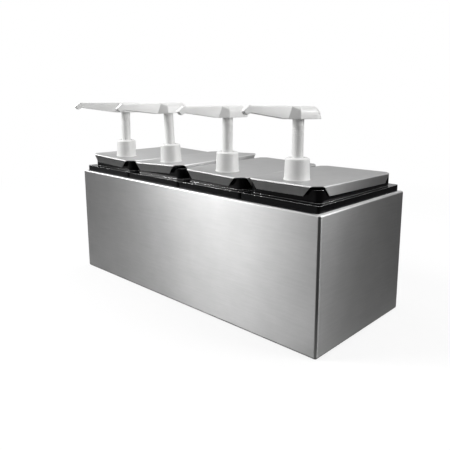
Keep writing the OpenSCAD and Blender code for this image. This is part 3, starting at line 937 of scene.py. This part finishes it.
def make_floor():
    """Plain floor: near white to the camera, with the object's soft shadow. To bounced light it
    carries a painted pool of light, pale near the object and darker further away, and painted
    shade that makes it darkest on the right."""
    bpy.ops.object.select_all(action="DESELECT")
    bpy.ops.mesh.primitive_plane_add(size=FLOOR_SIZE)
    floor = bpy.context.object
    floor.name = "studio_floor"
    material, tree, shader = new_material("studio_floor_white", Roughness=0.9,
                                          Specular_IOR_Level=0.1)
    to_camera = add(tree, "ShaderNodeLightPath", (-700, 0)).outputs["Is Camera Ray"]
    place = object_place(tree, (-900, -300))
    away = on_vector(tree, "LENGTH", place, (-700, -300)).outputs["Value"]
    to_right = split(tree, place, (-700, 600))["X"]

    # Painted light in the floor's bounced tone: a pool of light round the object, and painted
    # shade to its right
    painted_light_pool = ranged(tree, away, (0.2, 0.8), (0.45, 0.16), (-700, 300))
    painted_right_shade = ranged(tree, to_right, (0.24, 0.32), (1.0, 0.2), (-500, 600))
    bounced = maths(tree, "MULTIPLY", painted_light_pool, painted_right_shade, (-300, 500))
    tone = mixed(tree, to_camera, bounced, grey(0.95), (-400, 200))
    join(tree, tone, shader.inputs["Base Color"])

    fade = ranged(tree, away, (0.5, 1.4), (0.78, 1.0), (-500, -300),
                  interpolation_type="SMOOTHSTEP")
    share = maths(tree, "MULTIPLY", to_camera, fade, (-100, -200))
    white = add(tree, "ShaderNodeEmission", (0, -300), Strength=1.0)
    blend = mixed_shaders(tree, share, shader.outputs["BSDF"], white.outputs["Emission"],
                          (200, 0))
    join(tree, blend, tree.nodes["Material Output"].inputs["Surface"])
    floor.data.materials.append(material)


def make_world():
    """White to the camera, plain soft light on all surfaces, and a studio for gloss to mirror."""
    world = bpy.data.worlds.new("studio_world")
    bpy.context.scene.world = world
    world.use_nodes = True
    tree = world.node_tree
    plain = tree.nodes["Background"]
    plain.inputs["Color"].default_value = WHITE
    plain.inputs["Strength"].default_value = PLAIN_LIGHT

    place = add(tree, "ShaderNodeTexCoord", (-1500, -400)).outputs["Generated"]
    way = split(tree, place, (-1300, -400))
    forward = maths(tree, "MULTIPLY", way["Y"], -1, (-1100, -500))
    azimuth = maths(tree, "ARCTAN2", way["X"], forward, (-900, -400))
    turn = ranged(tree, azimuth, (-math.pi, math.pi), at=(-700, -400))
    walls = ramp(tree, turn, [((a + 180) / 360, level) for a, level in STUDIO_LEVELS],
                 (-500, -400))
    above = ranged(tree, way["Z"], CEILING, at=(-700, -700))
    room = mixed(tree, above, walls, WHITE, (-200, -400))
    studio = add(tree, "ShaderNodeBackground", (0, -400), Strength=1.0)
    join(tree, room, studio.inputs["Color"])

    white = add(tree, "ShaderNodeBackground", (0, -200), Color=WHITE, Strength=1.0)
    path = add(tree, "ShaderNodeLightPath", (-600, 200)).outputs
    seen = maths(tree, "MAXIMUM", path["Is Camera Ray"], path["Is Transmission Ray"],
                 (-100, 200))
    light = mixed_shaders(tree, path["Is Glossy Ray"], plain.outputs["Background"],
                          studio.outputs["Background"], (200, -200))
    blend = mixed_shaders(tree, seen, light, white.outputs["Background"], (400, 0))
    join(tree, blend, tree.nodes["World Output"].inputs["Surface"])


def softbox(name, azimuth, distance, height, width, tall, power, aim=(0, 0, 0.15),
            mirrored=True, lighting=True):
    """An area lamp round the object; azimuth 0 stands in front of it and 90 to its right.
    One that isn't mirrored lights only matt surfaces, and one that isn't lighting shows only in
    gloss."""
    lamp = bpy.data.lights.new(name, "AREA")
    lamp.shape = "RECTANGLE"
    lamp.size, lamp.size_y, lamp.energy = width, tall, power
    holder = bpy.data.objects.new(name, lamp)
    turn = math.radians(azimuth)
    holder.location = (distance * math.sin(turn), -distance * math.cos(turn), height)
    toward = Vector(aim) - holder.location
    holder.rotation_euler = toward.to_track_quat("-Z", "Y").to_euler()
    holder.visible_camera = False
    holder.visible_glossy = mirrored
    holder.visible_diffuse = lighting
    bpy.context.scene.collection.objects.link(holder)


def make_lights():
    """Key and soft light from the front left, a rim lamp from behind on the right, one overhead,
    and two that show only in gloss, at the left and at the right end."""
    softbox("key_strip", azimuth=-48.7, distance=2.0, height=0.85, width=0.5, tall=1.0,
            power=20.5)
    softbox("fill_left", azimuth=-95, distance=1.8, height=0.9, width=1.0, tall=1.2, power=9,
            lighting=False)
    softbox("side_soft", azimuth=-40, distance=1.9, height=1.75, width=0.7, tall=0.7, power=25,
            mirrored=False)
    softbox("rim_right", azimuth=114, distance=1.8, height=1.0, width=0.9, tall=1.0, power=18.5)
    softbox("side_glint", azimuth=115, distance=0.75, height=0.38, width=0.34, tall=0.15,
            power=1.0, aim=(0.28, -0.1, 0.15), lighting=False)
    softbox("overhead", azimuth=200, distance=0.3, height=1.7, width=1.6, tall=1.2, power=8.5)


def make_camera():
    """Camera at the front right, a little above the pump heads, with its view shifted."""
    spot, looking_down, to_the_left, roll = (0.62236, -0.62800, 0.34409), 10.653, 42.54, 0.188
    camera = bpy.data.objects.new("camera", bpy.data.cameras.new("camera"))
    bpy.context.scene.collection.objects.link(camera)
    camera.data.sensor_width, camera.data.lens = 36, 40.497
    camera.data.shift_x, camera.data.shift_y = -0.04409, -0.08049
    camera.data.clip_start, camera.data.clip_end = 0.01, 100
    look = Euler((math.radians(90 - looking_down), 0, math.radians(to_the_left)), "XYZ")
    camera.matrix_world = (Matrix.Translation(spot) @ look.to_matrix().to_4x4()
                           @ Matrix.Rotation(math.radians(roll), 4, "Z"))
    bpy.context.scene.camera = camera


make_box()
make_jars()
make_lids()
make_pumps()
make_springs()
finish_inner_parts()
make_floor()
make_world()
make_lights()
make_camera()
bpy.context.scene.view_settings.view_transform = "Standard"
